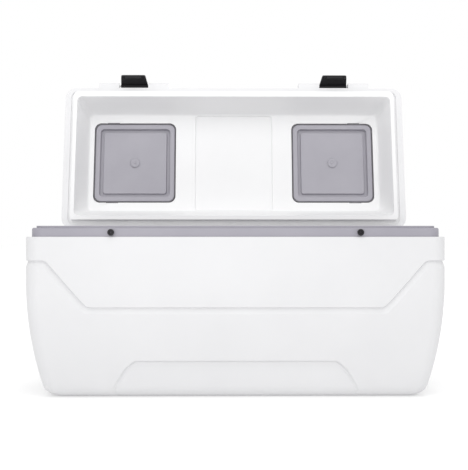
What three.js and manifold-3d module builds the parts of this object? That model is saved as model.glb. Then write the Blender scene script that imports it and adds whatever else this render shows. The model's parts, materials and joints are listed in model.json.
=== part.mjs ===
// Large chest cooler with its lid swung open: a foamed body with a grey rim liner, a foamed lid on
// three rear hinges, two snap hatches through the lid, two front latches, two end handles and a drain.
// Millimetres. +X is to the right, the front faces -Y, +Z is up. The origin is the centre of the base.
import * as THREE from 'three';
import { mergeVertices } from 'three/addons/utils/BufferGeometryUtils.js';
import Module from 'manifold-3d';

const wasm = await Module();
wasm.setup();
const { Manifold } = wasm;

// ---- driving dimensions ----
const halfLength = 541.5; // half the body length, along X
const halfDepth = 230; // half the body depth, along Y
const shellTop = 418; // top face of the white body shell
const lidEdge = 442.5; // lower edge of the lid's skirt when the lid is closed
const closedHeight = 540; // top of the closed lid
const cornerRadius = 34; // upright corners of body and lid
const skin = 4; // moulded wall thickness
const gap = 0.3; // clearance between pieces that touch
const endExtra = 13; // rim and lid features sit this much further in at the two ends

const taperHeight = 300; // below this height the sides curve inwards
const taperInset = 44; // how far they have come in at the floor
const baseRadius = 28; // rounding between the sides and the base

const grooveTop = 357; // upper edge of the styling groove at the ends and the back
const grooveLow = 237; // upper edge of its lower run across the front
const grooveTurnOut = 487; // |x| where the front groove starts to run down
const grooveTurnIn = 383; // |x| where it levels out again
const grooveSteps = [{ width: 16, depth: 2.2 }, { width: 9, depth: 5 }]; // shallow below, deep above

const recessTop = 97; // lower front recess
const recessDepth = 8;
const recessFoot = 6;
const recessSide = [[262, recessTop], [286, 77], [316, 29], [325, recessFoot]]; // its right-hand edge

const ledgeTop = 441; // outer ledge of the rim
const ribTop = 446; // sealing rib of the rim
const rimInset = 5; // outer face of the rim behind the shell's front and back faces
const rimInsetEnd = 15; // and behind its end faces
const ribInset = 13.5;
const ribWidth = 3;
const bayFloor = 421; // shelf under the lid's plug
const cavityFloor = 46;
const cavityHalf = { x: 489.5, y: 190, radius: 30 }; // at the top
const cavityDraft = 19; // how much narrower it is at its floor, on each side

const plugInset = 18; // outer face of the lid's plug, at the front and back
const plugInner = 38;
const plugDrop = 19; // how far the plug hangs below the skirt edge
const skirtWidth = 12;
const sealGroove = 5; // depth of the groove between skirt and plug
const lidFloorInset = 68;
const lidFloorRise = 71; // side pads of the lid's ceiling above the skirt edge
const centreRise = 6; // the middle of the ceiling is this much higher
const centreHalf = 126;

const lidHinge = { y: 242, z: 435, open: 100 };
const hingePlaces = [-380, 0, 380];

const latchX = 322;
const latchPivot = { y: -242, z: 462, bore: 3.4 };
const latchLength = 50;
const latchPinLength = 112;
const latchHalfRoot = 44;
const latchHalfTip = 38;
const latchPlate = { outer: 6.5, inner: 1.6, barrel: 5, hookHalf: 25 };
const latchSwing = 17; // the latches stand swung out by this much
const ear = { near: 47, far: 113, proud: 18 }; // lid ears beside each latch, from its middle
const post = { x: 318.5, z: 429, head: 8.6, neck: 6, bore: 2.6 }; // catch posts on the rim

const hatchX = 322;
const hatchHalf = 128.7; // grey hatch liner
const gasketHalf = 131.2;
const openingHalf = 133.2;
const openingRadius = 22;
const plateHalf = 142.5;
const plateThick = 5.5;
const plateRadius = 19;
const hatchAxis = { inward: 147.5, drop: 4 }; // hatch hinge from the hatch centre and below the top
const hatchPinLength = 283;
const barrelRoom = 5.5; // radius kept free around the hatch hinge

const pocket = { halfWidth: 130, low: 222, high: 330, depth: 26, radius: 14 };
const bail = { halfSpan: 112, pivotZ: 314, gripZ: 246, in: 13 };

const drain = { y: 95, z: 66, seat: 503, seatRadius: 26, bore: 12.4 };
const spout = { tail: 456, nut: 459, inner: 8, outer: 12, flange: 20 };

const outside = 600; // beyond every face of the part

// ---- shape helpers ----
const degrees = Math.PI / 180;

function toSolid(geometry) {
  const bare = new THREE.BufferGeometry();
  bare.setAttribute('position', geometry.getAttribute('position').clone());
  if (geometry.index) bare.setIndex(geometry.index.clone());
  const welded = mergeVertices(bare, 1e-4);
  return new Manifold(new wasm.Mesh({
    numProp: 3,
    vertProperties: new Float32Array(welded.getAttribute('position').array),
    triVerts: new Uint32Array(welded.index.array),
  }));
}

function toGeometry(solid) {
  const mesh = solid.getMesh();
  const geometry = new THREE.BufferGeometry();
  geometry.setAttribute('position', new THREE.BufferAttribute(new Float32Array(mesh.vertProperties), 3));
  geometry.setIndex(new THREE.BufferAttribute(new Uint32Array(mesh.triVerts), 1));
  geometry.computeVertexNormals();
  return geometry;
}

const join = (first, ...rest) => rest.reduce((solid, next) => solid.add(next), first);
const cut = (first, ...rest) => rest.reduce((solid, next) => solid.subtract(next), first);

// Rounded rectangle about the origin as a flat outline.
function roundedRect(halfX, halfY, radius) {
  const shape = new THREE.Shape();
  shape.absarc(halfX - radius, halfY - radius, radius, 0, Math.PI / 2);
  shape.absarc(radius - halfX, halfY - radius, radius, Math.PI / 2, Math.PI);
  shape.absarc(radius - halfX, radius - halfY, radius, Math.PI, 1.5 * Math.PI);
  shape.absarc(halfX - radius, radius - halfY, radius, 1.5 * Math.PI, 2 * Math.PI);
  shape.closePath();
  return shape;
}

function polygon(points) {
  return new THREE.Shape(points.map(([u, v]) => new THREE.Vector2(u, v)));
}

const axisBasis = {
  x: [new THREE.Vector3(0, 1, 0), new THREE.Vector3(0, 0, 1), new THREE.Vector3(1, 0, 0)],
  y: [new THREE.Vector3(1, 0, 0), new THREE.Vector3(0, 0, 1), new THREE.Vector3(0, -1, 0)],
  z: [new THREE.Vector3(1, 0, 0), new THREE.Vector3(0, 1, 0), new THREE.Vector3(0, 0, 1)],
};

// A flat outline pushed along an axis: (x, y) along z, (x, z) along y, (y, z) along x.
function extruded(shape, axis, from, to, curveSegments = 4) {
  const geometry = new THREE.ExtrudeGeometry(shape, {
    depth: to - from, bevelEnabled: false, curveSegments, steps: 1,
  });
  geometry.applyMatrix4(new THREE.Matrix4().makeBasis(...axisBasis[axis]));
  if (axis === 'x') geometry.translate(from, 0, 0);
  if (axis === 'y') geometry.translate(0, to, 0);
  if (axis === 'z') geometry.translate(0, 0, from);
  return toSolid(geometry);
}

function block(x0, x1, y0, y1, z0, z1) {
  const geometry = new THREE.BoxGeometry(x1 - x0, y1 - y0, z1 - z0);
  geometry.translate((x0 + x1) / 2, (y0 + y1) / 2, (z0 + z1) / 2);
  return toSolid(geometry);
}

// A round bar along one axis, centred at (x, y, z).
function rod(axis, radius, length, x, y, z, sides = 16) {
  const geometry = new THREE.CylinderGeometry(radius, radius, length, sides);
  if (axis === 'x') geometry.rotateZ(Math.PI / 2);
  if (axis === 'z') geometry.rotateX(Math.PI / 2);
  geometry.translate(x, y, z);
  return toSolid(geometry);
}

// A turned piece about an X axis through (y, z): points are [x, radius] round a closed outline.
function turned(points, y, z, sides = 20) {
  const outline = [...points, points[0]].map(([x, r]) => new THREE.Vector2(r, x));
  const geometry = new THREE.LatheGeometry(outline, sides);
  geometry.applyMatrix4(new THREE.Matrix4().makeBasis(
    new THREE.Vector3(0, 1, 0), new THREE.Vector3(1, 0, 0), new THREE.Vector3(0, 0, -1)));
  geometry.translate(0, y, z);
  return toSolid(geometry);
}

// Rounded rectangles stacked in z and skinned into one closed solid.
function loft(rings, steps = 4) {
  const corners = [[1, 1], [-1, 1], [-1, -1], [1, -1]];
  const perRing = 4 * (steps + 1);
  const positions = [];
  for (const { halfX, halfY, radius, z } of rings) {
    corners.forEach(([sx, sy], quarter) => {
      for (let i = 0; i <= steps; i++) {
        const turn = (quarter + i / steps) * Math.PI / 2;
        const x = sx * (halfX - radius) + radius * Math.cos(turn);
        const y = sy * (halfY - radius) + radius * Math.sin(turn);
        positions.push(x, y, z);
      }
    });
  }
  const index = [];
  for (let k = 0; k + 1 < rings.length; k++) {
    for (let i = 0; i < perRing; i++) {
      const a = k * perRing + i;
      const b = k * perRing + (i + 1) % perRing;
      index.push(a, b, b + perRing, a, b + perRing, a + perRing);
    }
  }
  const last = (rings.length - 1) * perRing;
  for (let i = 1; i + 1 < perRing; i++) {
    index.push(0, i + 1, i, last, last + i, last + i + 1);
  }
  const geometry = new THREE.BufferGeometry();
  geometry.setAttribute('position', new THREE.BufferAttribute(new Float32Array(positions), 3));
  geometry.setIndex(index);
  return toSolid(geometry);
}

// A straight-sided rounded block, given by how far in it sits at the ends and at the front and back.
function slab(insetEnd, inset, z0, z1) {
  const radius = Math.max(6, cornerRadius - inset);
  return extruded(roundedRect(halfLength - insetEnd, halfDepth - inset, radius), 'z', z0, z1);
}

// ---- body form ----
function sideInset(z) {
  return z < taperHeight ? taperInset * ((taperHeight - z) / taperHeight) ** 2 : 0;
}

// The body's outside, moved inwards by `offset`; `depthAt` adds a further inset that depends on z.
function bodyLoft(offset, top, depthAt = () => 0) {
  const rounding = baseRadius - offset;
  const rings = [];
  const ring = (z, inset) => rings.push({
    halfX: halfLength - inset - depthAt(z),
    halfY: halfDepth - inset - depthAt(z),
    radius: cornerRadius,
    z,
  });
  for (let i = 0; i <= 3; i++) {
    const turn = i / 3 * Math.PI / 2;
    const z = baseRadius - rounding * Math.cos(turn);
    ring(z, sideInset(z) + baseRadius - rounding * Math.sin(turn));
  }
  for (const z of [70, 125, 200, taperHeight, top]) ring(z, sideInset(z) + offset);
  return loft(rings);
}

// Styling groove: level at the ends and back, dropping to a low run across the front.
function grooveBand(offset, { width, depth }) {
  const reach = halfLength + 10;
  const slope = Math.atan2(grooveTop - grooveLow, grooveTurnOut - grooveTurnIn);
  const edge = (below) => {
    const shift = below * Math.tan(slope / 2);
    return [[reach, grooveTop - below], [grooveTurnOut + shift, grooveTop - below],
      [grooveTurnIn + shift, grooveLow - below]];
  };
  const mirrored = (points) => points.map(([x, z]) => [-x, z]).reverse();
  const upper = edge(-offset);
  const lower = edge(width + offset);
  const outline = polygon([...upper, ...mirrored(upper), ...mirrored(lower).reverse(), ...lower.reverse()]);
  const path = join(
    extruded(outline, 'y', -halfDepth - 10, -100),
    block(-reach, reach, -100, halfDepth + 10, grooveTop - width - offset, grooveTop + offset));
  return cut(path, bodyLoft(depth + offset, shellTop));
}

// Lower front recess: deepest along its top edge, running out at the bottom.
function frontRecess(offset) {
  const right = recessSide.map(([x, z], i) => [x + offset, i === recessSide.length - 1 ? z : z + offset]);
  const outline = polygon([...right, ...right.map(([x, z]) => [-x, z]).reverse()]);
  const depthAt = (z) => recessDepth * THREE.MathUtils.clamp((z - 8) / (recessTop - 8), 0.02, 1);
  return cut(extruded(outline, 'y', -halfDepth - 10, 0), bodyLoft(offset, shellTop, depthAt));
}

// Recess for the carrying handle in each end.
function handlePockets(offset) {
  const shape = roundedRect(pocket.halfWidth + offset, (pocket.high - pocket.low) / 2 + offset,
    pocket.radius + offset);
  const middle = (pocket.high + pocket.low) / 2;
  const floor = halfLength - pocket.depth - offset;
  const right = extruded(shape, 'x', floor, halfLength + 10).translate([0, 0, middle]);
  return join(right, right.mirror([1, 0, 0]));
}

function drainSeat(offset) {
  const floor = drain.seat - offset;
  return rod('x', drain.seatRadius + offset, 60, floor + 30, drain.y, drain.z, 20);
}

function bodyForm(offset, top) {
  const grooves = grooveSteps.map((step) => grooveBand(offset, step));
  return cut(bodyLoft(offset, top), ...grooves, frontRecess(offset), handlePockets(offset),
    drainSeat(offset));
}

// The room inside the rim liner, with a little draft and a filleted floor, grown by `grow`.
function cavityLoft(grow, top) {
  const floor = cavityFloor - grow;
  const fillet = 8 + grow;
  const draft = (z) => cavityDraft * (bayFloor - z) / (bayFloor - cavityFloor);
  const ring = (z, extra) => ({
    halfX: cavityHalf.x - draft(z) + grow - extra,
    halfY: cavityHalf.y - draft(z) + grow - extra,
    radius: cavityHalf.radius + grow - extra,
    z,
  });
  return loft([
    ring(floor, fillet), ring(floor + fillet * 0.3, fillet * 0.3), ring(floor + fillet, 0), ring(top, 0),
  ]);
}

// ---- materials ----
const shade = (colour, roughness, metalness = 0) =>
  new THREE.MeshStandardMaterial({ color: colour, roughness, metalness });
const whitePlastic = () => shade(0xeff0f2, 0.45);
const greyPlastic = () => shade(0xb0adb8, 0.5);
const palePlastic = () => shade(0xe4e4e6, 0.5);
const blackPlastic = () => shade(0x262427, 0.4);
const rubber = () => shade(0x6c6870, 0.8);
const steel = () => shade(0xc8c8cc, 0.3, 1);
const blackSteel = () => shade(0x343338, 0.4, 1);
const foam = () => shade(0xf1e3b4, 0.9);

function piece(parent, name, solid, material) {
  const mesh = new THREE.Mesh(toGeometry(solid), material);
  mesh.name = name;
  parent.add(mesh);
  return mesh;
}

const cooler = new THREE.Group();
const sides = [['left', -1], ['right', 1]];

// ---- body: shell, foam and rim liner ----
const leafPlate = { half: 30, bodyLow: 366, bodyHigh: 410, lidLow: 452, lidHigh: 492, thick: 3 };
const screwSpread = 18;
const bodyScrewZ = 386;
const lidScrewZ = 474;
const rearFace = halfDepth + gap;

function hingeScrewHoles(z) {
  return join(...hingePlaces.flatMap((x) => [-1, 1].map((side) =>
    rod('y', 2.5, 20, x + side * screwSpread, halfDepth, z, 8))));
}

function bodyShell() {
  const mouth = slab(rimInsetEnd - gap, rimInset - gap, shellTop - skin - 1, shellTop + 1);
  const pivotHoles = sides.flatMap(([, side]) => [-1, 1].map((end) =>
    rod('y', 4.5, 30, side * (halfLength - bail.in), end * pocket.halfWidth, bail.pivotZ, 12)));
  const drainHole = rod('x', drain.bore, 40, drain.seat, drain.y, drain.z, 20);
  return cut(bodyForm(0, shellTop), bodyForm(skin, shellTop - skin), mouth,
    hingeScrewHoles(bodyScrewZ), ...pivotHoles, drainHole);
}

const bandFoot = 404; // lower edge of the rim's outer band
const hollowTop = bayFloor - skin;

function bodyFoam() {
  const below = bodyForm(skin + gap, bandFoot - gap);
  const above = slab(rimInsetEnd + skin + gap, rimInset + skin + gap, bandFoot - 2, hollowTop - gap);
  const drainHole = rod('x', drain.bore, 60, drain.seat - 15, drain.y, drain.z, 20);
  return cut(join(below, above), cavityLoft(skin + gap, bayFloor), drainHole);
}

function bodyLiner() {
  const band = cut(
    slab(rimInsetEnd, rimInset, bandFoot, ledgeTop),
    slab(rimInsetEnd + skin, rimInset + skin, bandFoot - 1, hollowTop));
  const rib = slab(ribInset + endExtra, ribInset, ledgeTop - 1, ribTop);
  const bay = slab(ribInset + ribWidth + endExtra, ribInset + ribWidth, bayFloor, ribTop + 1);
  const postHoles = sides.map(([, side]) =>
    rod('y', post.bore, 18, side * post.x, -halfDepth + rimInset, post.z, 12));
  const drainHole = rod('x', drain.bore, 30, 472, drain.y, drain.z, 20);
  return cut(join(band, rib, cavityLoft(skin, bayFloor - 1)), bay, cavityLoft(0, bayFloor + 1),
    ...postHoles, drainHole);
}

piece(cooler, 'body_shell', bodyShell(), whitePlastic());
piece(cooler, 'body_foam', bodyFoam(), foam());
piece(cooler, 'body_liner', bodyLiner(), greyPlastic());

// ---- catch posts on the front of the rim ----
function crossDriveScrew(headRadius, headHeight, shankRadius, shankLength) {
  // Head face at y = 0, shank towards +Y.
  const head = rod('y', headRadius, headHeight, 0, headHeight / 2, 0, 12);
  const shank = rod('y', shankRadius, shankLength, 0, headHeight + shankLength / 2 - 0.05, 0, 8);
  const slots = [
    block(-headRadius * 0.55, headRadius * 0.55, -1, 1.2, -0.6, 0.6),
    block(-0.6, 0.6, -1, 1.2, -headRadius * 0.55, headRadius * 0.55),
  ];
  return cut(join(head, shank), ...slots);
}

function catchPost() {
  // Head towards -Y, back face at y = 0.
  const head = rod('y', post.head, 4.5, 0, -9.45, 0, 24);
  const neck = rod('y', post.neck, 7.3, 0, -3.65, 0, 20);
  const seat = rod('y', 4.6, 3.4, 0, -10, 0, 20);
  return cut(join(head, neck), seat, rod('y', post.bore, 30, 0, 0, 0, 12));
}

for (const [name, side] of sides) {
  const face = -halfDepth + rimInset - gap;
  const stud = piece(cooler, `catch_post_${name}`, catchPost(), blackPlastic());
  stud.position.set(side * post.x, face, post.z);
  const screw = piece(cooler, `catch_screw_${name}`, crossDriveScrew(4.3, 2.4, 2.3, 15), blackSteel());
  screw.position.set(side * post.x, face - 11, post.z);
}

// ---- lid ----
const lidSwing = new THREE.Group();
lidSwing.position.set(0, lidHinge.y, lidHinge.z);
lidSwing.rotation.x = -lidHinge.open * degrees;
cooler.add(lidSwing);
const lid = new THREE.Group();
lid.position.set(0, -lidHinge.y, -lidHinge.z);
lidSwing.add(lid);

// Outside of the lid, moved inwards by `offset`.
function lidLoft(offset, bottom) {
  const rounding = 24;
  const ring = (z, inset, shrink = 0) => ({
    halfX: halfLength - inset, halfY: halfDepth - inset, radius: cornerRadius - shrink, z,
  });
  const rings = [ring(bottom, offset + (offset ? 0 : 1.5)), ring(lidEdge + 6, offset)];
  for (let i = 0; i <= 3; i++) {
    const turn = i / 3 * Math.PI / 2;
    const reach = rounding - offset;
    const z = closedHeight - rounding + reach * Math.sin(turn);
    rings.push(ring(z, 3 + rounding - reach * Math.cos(turn)));
  }
  return loft(rings);
}

// The lid's hollow ceiling, grown by `grow`: sloping walls up to two side pads and a higher middle.
function lidHollow(grow, bottom) {
  const floorZ = lidEdge + lidFloorRise + grow;
  const ring = (z, inset, insetEnd, radius) => ({
    halfX: halfLength - insetEnd + grow, halfY: halfDepth - inset + grow, radius: radius + grow, z,
  });
  const crest = lidEdge - plugDrop;
  const pads = loft([
    ring(bottom, plugInner - 3, plugInner + 3, 16),
    ring(crest + 5, plugInner, plugInner + 6, 16),
    ring(floorZ - 8, lidFloorInset - 3, lidFloorInset, 16),
    ring(floorZ - 2, lidFloorInset, lidFloorInset + 3, 14),
    ring(floorZ, lidFloorInset + 4, lidFloorInset + 7, 12),
  ]);
  const middle = block(-centreHalf - grow, centreHalf + grow, lidFloorInset + 3 - halfDepth - grow,
    halfDepth - lidFloorInset - 3 + grow, floorZ - 4, floorZ + centreRise);
  return join(pads, middle);
}

// Everything between two heights, for trimming.
function layer(z0, z1) {
  return block(-outside, outside, -outside, outside, z0, z1);
}

function squareAt(x, half, radius, z0, z1) {
  return extruded(roundedRect(half, half, radius), 'z', z0, z1).translate([x, 0, 0]);
}

// The square way through the lid for a hatch, grown by `grow`.
function hatchWell(side, grow, z0 = 0, z1 = outside) {
  return squareAt(side * hatchX, openingHalf + grow, openingRadius + grow, z0, z1);
}

const wellWall = 3.5;
const plateFloor = closedHeight - plateThick - 0.5;
const seatRear = plugInset + 6; // the plug keeps this far in at the back so that it clears the rib

// Seat for a hatch plate in the lid's top, with a channel for its hinge barrel, grown by `grow`.
function hatchSeat(side, grow) {
  const seat = squareAt(side * hatchX, plateHalf + 0.8 + grow, plateRadius + 1, plateFloor - grow,
    closedHeight + 2);
  const axisX = side * (hatchX - hatchAxis.inward);
  const channelHalf = plateHalf - 4 + grow;
  const channel = block(axisX - barrelRoom - grow, axisX + barrelRoom + grow, -channelHalf, channelHalf,
    closedHeight - hatchAxis.drop - barrelRoom - grow, closedHeight + 2);
  const ahead = axisX + side * (barrelRoom + 4 + grow);
  const relief = block(Math.min(axisX, ahead), Math.max(axisX, ahead), -channelHalf, channelHalf,
    plateFloor - grow, closedHeight + 2);
  return join(seat, channel, relief);
}

function lidShell() {
  const outer = lidLoft(0, lidEdge);
  const inner = lidLoft(skin, lidEdge + skin);
  const lip = slab(skirtWidth + 8, skirtWidth, lidEdge - 1, lidEdge + skin + 1);
  const wallOut = slab(skirtWidth + 5, skirtWidth - 3, lidEdge + 1, lidEdge + sealGroove);
  const wallIn = slab(skirtWidth + 8, skirtWidth, lidEdge, lidEdge + sealGroove + 1);
  let shell = join(cut(outer, inner, lip), cut(wallOut, wallIn));
  for (const [, side] of sides) {
    shell = join(shell, cut(hatchSeat(side, skin), layer(closedHeight, outside)));
    shell = cut(shell, hatchSeat(side, 0), hatchWell(side, 0));
    const axisX = side * (hatchX - hatchAxis.inward);
    const pinHole = rod('y', 2.3, hatchPinLength + 1, axisX, 0, closedHeight - hatchAxis.drop, 12);
    shell = join(shell, ...latchEars(side));
    shell = cut(shell, pinHole,
      rod('x', latchPivot.bore, latchPinLength + 4, side * latchX, latchPivot.y, latchPivot.z, 12));
  }
  return cut(shell, hingeScrewHoles(lidScrewZ));
}

// Two ears on the lid's front edge that carry a latch pin between them.
function latchEars(side) {
  const front = -halfDepth - ear.proud;
  const shape = new THREE.Shape();
  shape.moveTo(-halfDepth + 3, lidEdge + 1);
  shape.absarc(front + 8, lidEdge + 9, 8, 1.5 * Math.PI, Math.PI, true);
  shape.absarc(front + 10, lidEdge + 30, 10, Math.PI, 0.6 * Math.PI, true);
  shape.lineTo(-halfDepth + 3, lidEdge + 52);
  shape.closePath();
  return [-1, 1].map((end) => {
    const near = side * latchX + end * ear.near;
    const far = side * latchX + end * ear.far;
    return extruded(shape, 'x', Math.min(near, far), Math.max(near, far));
  });
}

// The plug under the lid, from its crest up, moved inwards by `offset`.
function plugSlab(offset, z0, z1) {
  const wide = slab(plugInset + endExtra + offset, plugInset + offset, z0, z1);
  const behind = block(-outside, outside, halfDepth - seatRear - offset, outside, z0 - 1, z1 + 1);
  return cut(wide, behind);
}

function lidLiner() {
  const crest = lidEdge - plugDrop;
  const grooveRoof = lidEdge + sealGroove;
  const web = slab(skirtWidth + 6, skirtWidth - 2, grooveRoof + gap, grooveRoof + gap + skin);
  const box = join(plugSlab(0, crest, grooveRoof + 2), web);
  const foamRoom = plugSlab(skin, crest + skin, grooveRoof + gap + skin + 1);
  let liner = join(cut(box, foamRoom), cut(lidHollow(skin, crest), layer(0, crest)));
  for (const [, side] of sides) {
    liner = join(liner, hatchWell(side, wellWall, lidEdge + lidFloorRise, plateFloor - skin - gap));
  }
  liner = cut(liner, lidHollow(0, crest - 2));
  for (const [, side] of sides) {
    liner = cut(liner, hatchWell(side, 0), ...snapNotches(side, 0.6));
  }
  return liner;
}

// Where the two snap tabs of a hatch sit, on its front and back edges towards the lid's end.
function snapNotches(side, grow) {
  const x = side * (hatchX + gasketHalf - 60);
  const z = lidEdge + lidFloorRise;
  return [-1, 1].map((end) => {
    const near = end * (gasketHalf - 1);
    const far = end * (gasketHalf + 3 + grow);
    return block(x - 19 - grow, x + 19 + grow, Math.min(near, far), Math.max(near, far), z - (grow ? 1 : 0),
      z + 5 + grow);
  });
}

function lidFoam() {
  const grooveRoof = lidEdge + sealGroove;
  const roof = lidLoft(skin + gap, lidEdge + skin + gap);
  const above = cut(roof, layer(0, grooveRoof + 2 * gap + skin));
  const inPlug = plugSlab(skin + gap, lidEdge - plugDrop + skin + gap, grooveRoof + 2 * gap + skin + 1);
  let core = cut(join(above, inPlug), lidHollow(skin + gap, lidEdge - plugDrop - 2));
  for (const [, side] of sides) {
    core = cut(core, hatchSeat(side, skin + gap), hatchWell(side, wellWall + gap));
  }
  return core;
}

piece(lid, 'lid_shell', lidShell(), whitePlastic());
piece(lid, 'lid_foam', lidFoam(), foam());
piece(lid, 'lid_liner', lidLiner(), whitePlastic());

// ---- hinges ----
const knuckleRadius = 6;
const knuckleSplit = 11;

// Side outline of a knuckle: from a leaf on the wall at `wallZ` round the pin axis.
function knuckleShape(wallNear, wallFar) {
  const up = Math.sign(wallFar - lidHinge.z);
  const shape = new THREE.Shape();
  shape.moveTo(rearFace, wallFar);
  shape.lineTo(rearFace, wallNear);
  const first = up > 0 ? 1.25 * Math.PI : 0.75 * Math.PI;
  const last = up > 0 ? 2.15 * Math.PI : -0.15 * Math.PI;
  shape.absarc(lidHinge.y, lidHinge.z, knuckleRadius, first, last, up < 0);
  shape.lineTo(rearFace + leafPlate.thick, wallFar);
  shape.closePath();
  return shape;
}

function hingeLeaf(x, z0, z1, screwZ, knuckles, shape) {
  const plate = block(x - leafPlate.half, x + leafPlate.half, rearFace, rearFace + leafPlate.thick, z0, z1);
  const barrels = knuckles.map(([from, to]) => extruded(shape, 'x', x + from, x + to));
  const holes = [-1, 1].map((side) =>
    rod('y', 2.6, 20, x + side * screwSpread, rearFace, screwZ, 8));
  const bore = rod('x', 2.9, 80, x, lidHinge.y, lidHinge.z, 12);
  return cut(join(plate, ...barrels), bore, ...holes);
}

const bodyKnuckle = knuckleShape(shellTop + 4, leafPlate.bodyHigh - 4);
const lidKnuckle = knuckleShape(lidEdge + 8, leafPlate.lidLow + 5);
const outerKnuckles = [[-leafPlate.half, -knuckleSplit], [knuckleSplit, leafPlate.half]];
const innerKnuckle = [[gap * 2 - knuckleSplit, knuckleSplit - gap * 2]];

hingePlaces.forEach((x, i) => {
  const place = ['left', 'middle', 'right'][i];
  piece(cooler, `hinge_body_leaf_${place}`,
    hingeLeaf(x, leafPlate.bodyLow, leafPlate.bodyHigh, bodyScrewZ, outerKnuckles, bodyKnuckle),
    palePlastic());
  piece(lid, `hinge_lid_leaf_${place}`,
    hingeLeaf(x, leafPlate.lidLow, leafPlate.lidHigh, lidScrewZ, innerKnuckle, lidKnuckle),
    palePlastic());
  piece(cooler, `hinge_pin_${place}`, rod('x', 2.5, 62, x, lidHinge.y, lidHinge.z, 12), steel());
  for (const [name, side] of sides) {
    const where = `${place}_${name}`;
    for (const [parent, owner, z] of [[cooler, 'body', bodyScrewZ], [lid, 'lid', lidScrewZ]]) {
      const screw = piece(parent, `hinge_${owner}_screw_${where}`,
        crossDriveScrew(4.4, 2.2, 2.2, 6.6), steel());
      screw.rotation.z = Math.PI;
      screw.position.set(x + side * screwSpread, rearFace + leafPlate.thick + 2.2 + gap, z);
    }
  }
});

// ---- latches ----
// Built hanging straight down from a pivot at the origin, outer face towards -Y.
function latchBody() {
  const outline = polygon([
    [-latchHalfRoot, 2], [-latchHalfTip - 1, 5 - latchLength], [-latchHalfTip + 4, -latchLength],
    [latchHalfTip - 4, -latchLength], [latchHalfTip + 1, 5 - latchLength], [latchHalfRoot, 2],
  ]);
  const plate = extruded(outline, 'y', -latchPlate.outer, -latchPlate.inner);
  const barrel = rod('x', latchPlate.barrel, 2 * latchHalfRoot, 0, 0, 0, 20);
  const hook = block(-latchPlate.hookHalf, latchPlate.hookHalf, -4, 5, -latchLength, 5.5 - latchLength);
  const bore = rod('x', latchPivot.bore, latchPinLength, 0, 0, 0, 12);
  return cut(join(plate, barrel, hook), bore);
}

for (const [name, side] of sides) {
  const latch = new THREE.Group();
  latch.position.set(side * latchX, latchPivot.y, latchPivot.z);
  latch.rotation.x = -latchSwing * degrees;
  lid.add(latch);
  piece(latch, `latch_${name}`, latchBody(), blackPlastic());
  const pin = piece(lid, `latch_pin_${name}`, rod('x', 3, latchPinLength, 0, 0, 0, 12),
    steel());
  pin.position.set(side * latchX, latchPivot.y, latchPivot.z);
}

// ---- lid hatches ----
const hatchBottom = lidEdge + lidFloorRise;
const frameWidth = 15;
const moatWidth = 13; // channel between the frame and the panel
const moatDepth = 12;
const panelRise = 5; // the panel lies this much deeper than the frame

function hatchCover(side) {
  const axisX = side * (hatchX - hatchAxis.inward);
  const axisZ = closedHeight - hatchAxis.drop;
  const plate = squareAt(side * hatchX, plateHalf, plateRadius, plateFloor + 0.5, closedHeight);
  const barrel = rod('y', 4, 2 * plateHalf - 20, axisX, 0, axisZ);
  const near = side * (hatchX - plateHalf + 3);
  const arm = block(Math.min(axisX, near), Math.max(axisX, near), 22 - plateHalf, plateHalf - 22,
    plateFloor + 0.5, closedHeight - 0.6);
  return cut(join(plate, arm, barrel), rod('y', 2.3, 300, axisX, 0, axisZ, 12));
}

function hatchLiner(side) {
  const x = side * hatchX;
  const top = plateFloor + 0.5 - gap;
  const body = squareAt(x, hatchHalf, 20, hatchBottom, top);
  const pan = (inset, radius, z) => ({ halfX: hatchHalf - inset, halfY: hatchHalf - inset, radius, z });
  const floor = hatchBottom + moatDepth;
  const moat = cut(
    loft([pan(frameWidth - 1, 12, hatchBottom - 0.5), pan(frameWidth + 2, 10, floor)], 3),
    loft([pan(frameWidth + moatWidth, 6, hatchBottom + panelRise),
      pan(frameWidth + moatWidth - 3, 8, floor + 1)], 3),
  ).translate([x, 0, 0]);
  const room = squareAt(x, hatchHalf - 3, 17, floor + 3, top + 1);
  return cut(body, moat, room);
}

function hatchGasket(side) {
  const x = side * hatchX;
  const ring = cut(
    squareAt(x, gasketHalf, 22, hatchBottom + 0.5, hatchBottom + 12),
    squareAt(x, hatchHalf + gap, 20.3, hatchBottom, hatchBottom + 13));
  return join(ring, ...snapNotches(side, 0));
}

for (const [name, side] of sides) {
  const x = side * hatchX;
  const foamTop = plateFloor + 0.5 - gap;
  piece(lid, `hatch_cover_${name}`, hatchCover(side), whitePlastic());
  piece(lid, `hatch_liner_${name}`, hatchLiner(side), greyPlastic());
  piece(lid, `hatch_foam_${name}`,
    squareAt(x, hatchHalf - 3 - gap, 16.7, hatchBottom + moatDepth + 3 + gap, foamTop), foam());
  piece(lid, `hatch_gasket_${name}`, hatchGasket(side), rubber());
  piece(lid, `hatch_plug_${name}`,
    rod('z', 16, 4.4, x, 0, hatchBottom + panelRise - gap - 2.2, 24), greyPlastic());
  piece(lid, `hatch_pin_${name}`,
    rod('y', 2, hatchPinLength, side * (hatchX - hatchAxis.inward), 0, closedHeight - hatchAxis.drop, 12),
    steel());
}

// ---- carrying handles ----
function bailLoop(side) {
  const x = side * (halfLength - bail.in);
  const arms = [-1, 1].map((end) => join(
    block(x - 7, x + 7, end * bail.halfSpan - 9, end * bail.halfSpan + 9, bail.gripZ, bail.pivotZ),
    rod('y', 7, 18, x, end * bail.halfSpan, bail.pivotZ)));
  const shoulders = [-1, 1].map((end) => {
    const near = end * 62;
    const far = end * (bail.halfSpan + 9);
    return block(x - 7, x + 7, Math.min(near, far), Math.max(near, far), bail.gripZ - 9, bail.gripZ + 9);
  });
  const bar = rod('y', 6, 2 * bail.halfSpan, x, 0, bail.gripZ);
  const bores = [-1, 1].map((end) => rod('y', 4.5, 40, x, end * bail.halfSpan, bail.pivotZ, 12));
  return cut(join(bar, ...arms, ...shoulders), ...bores);
}

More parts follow.
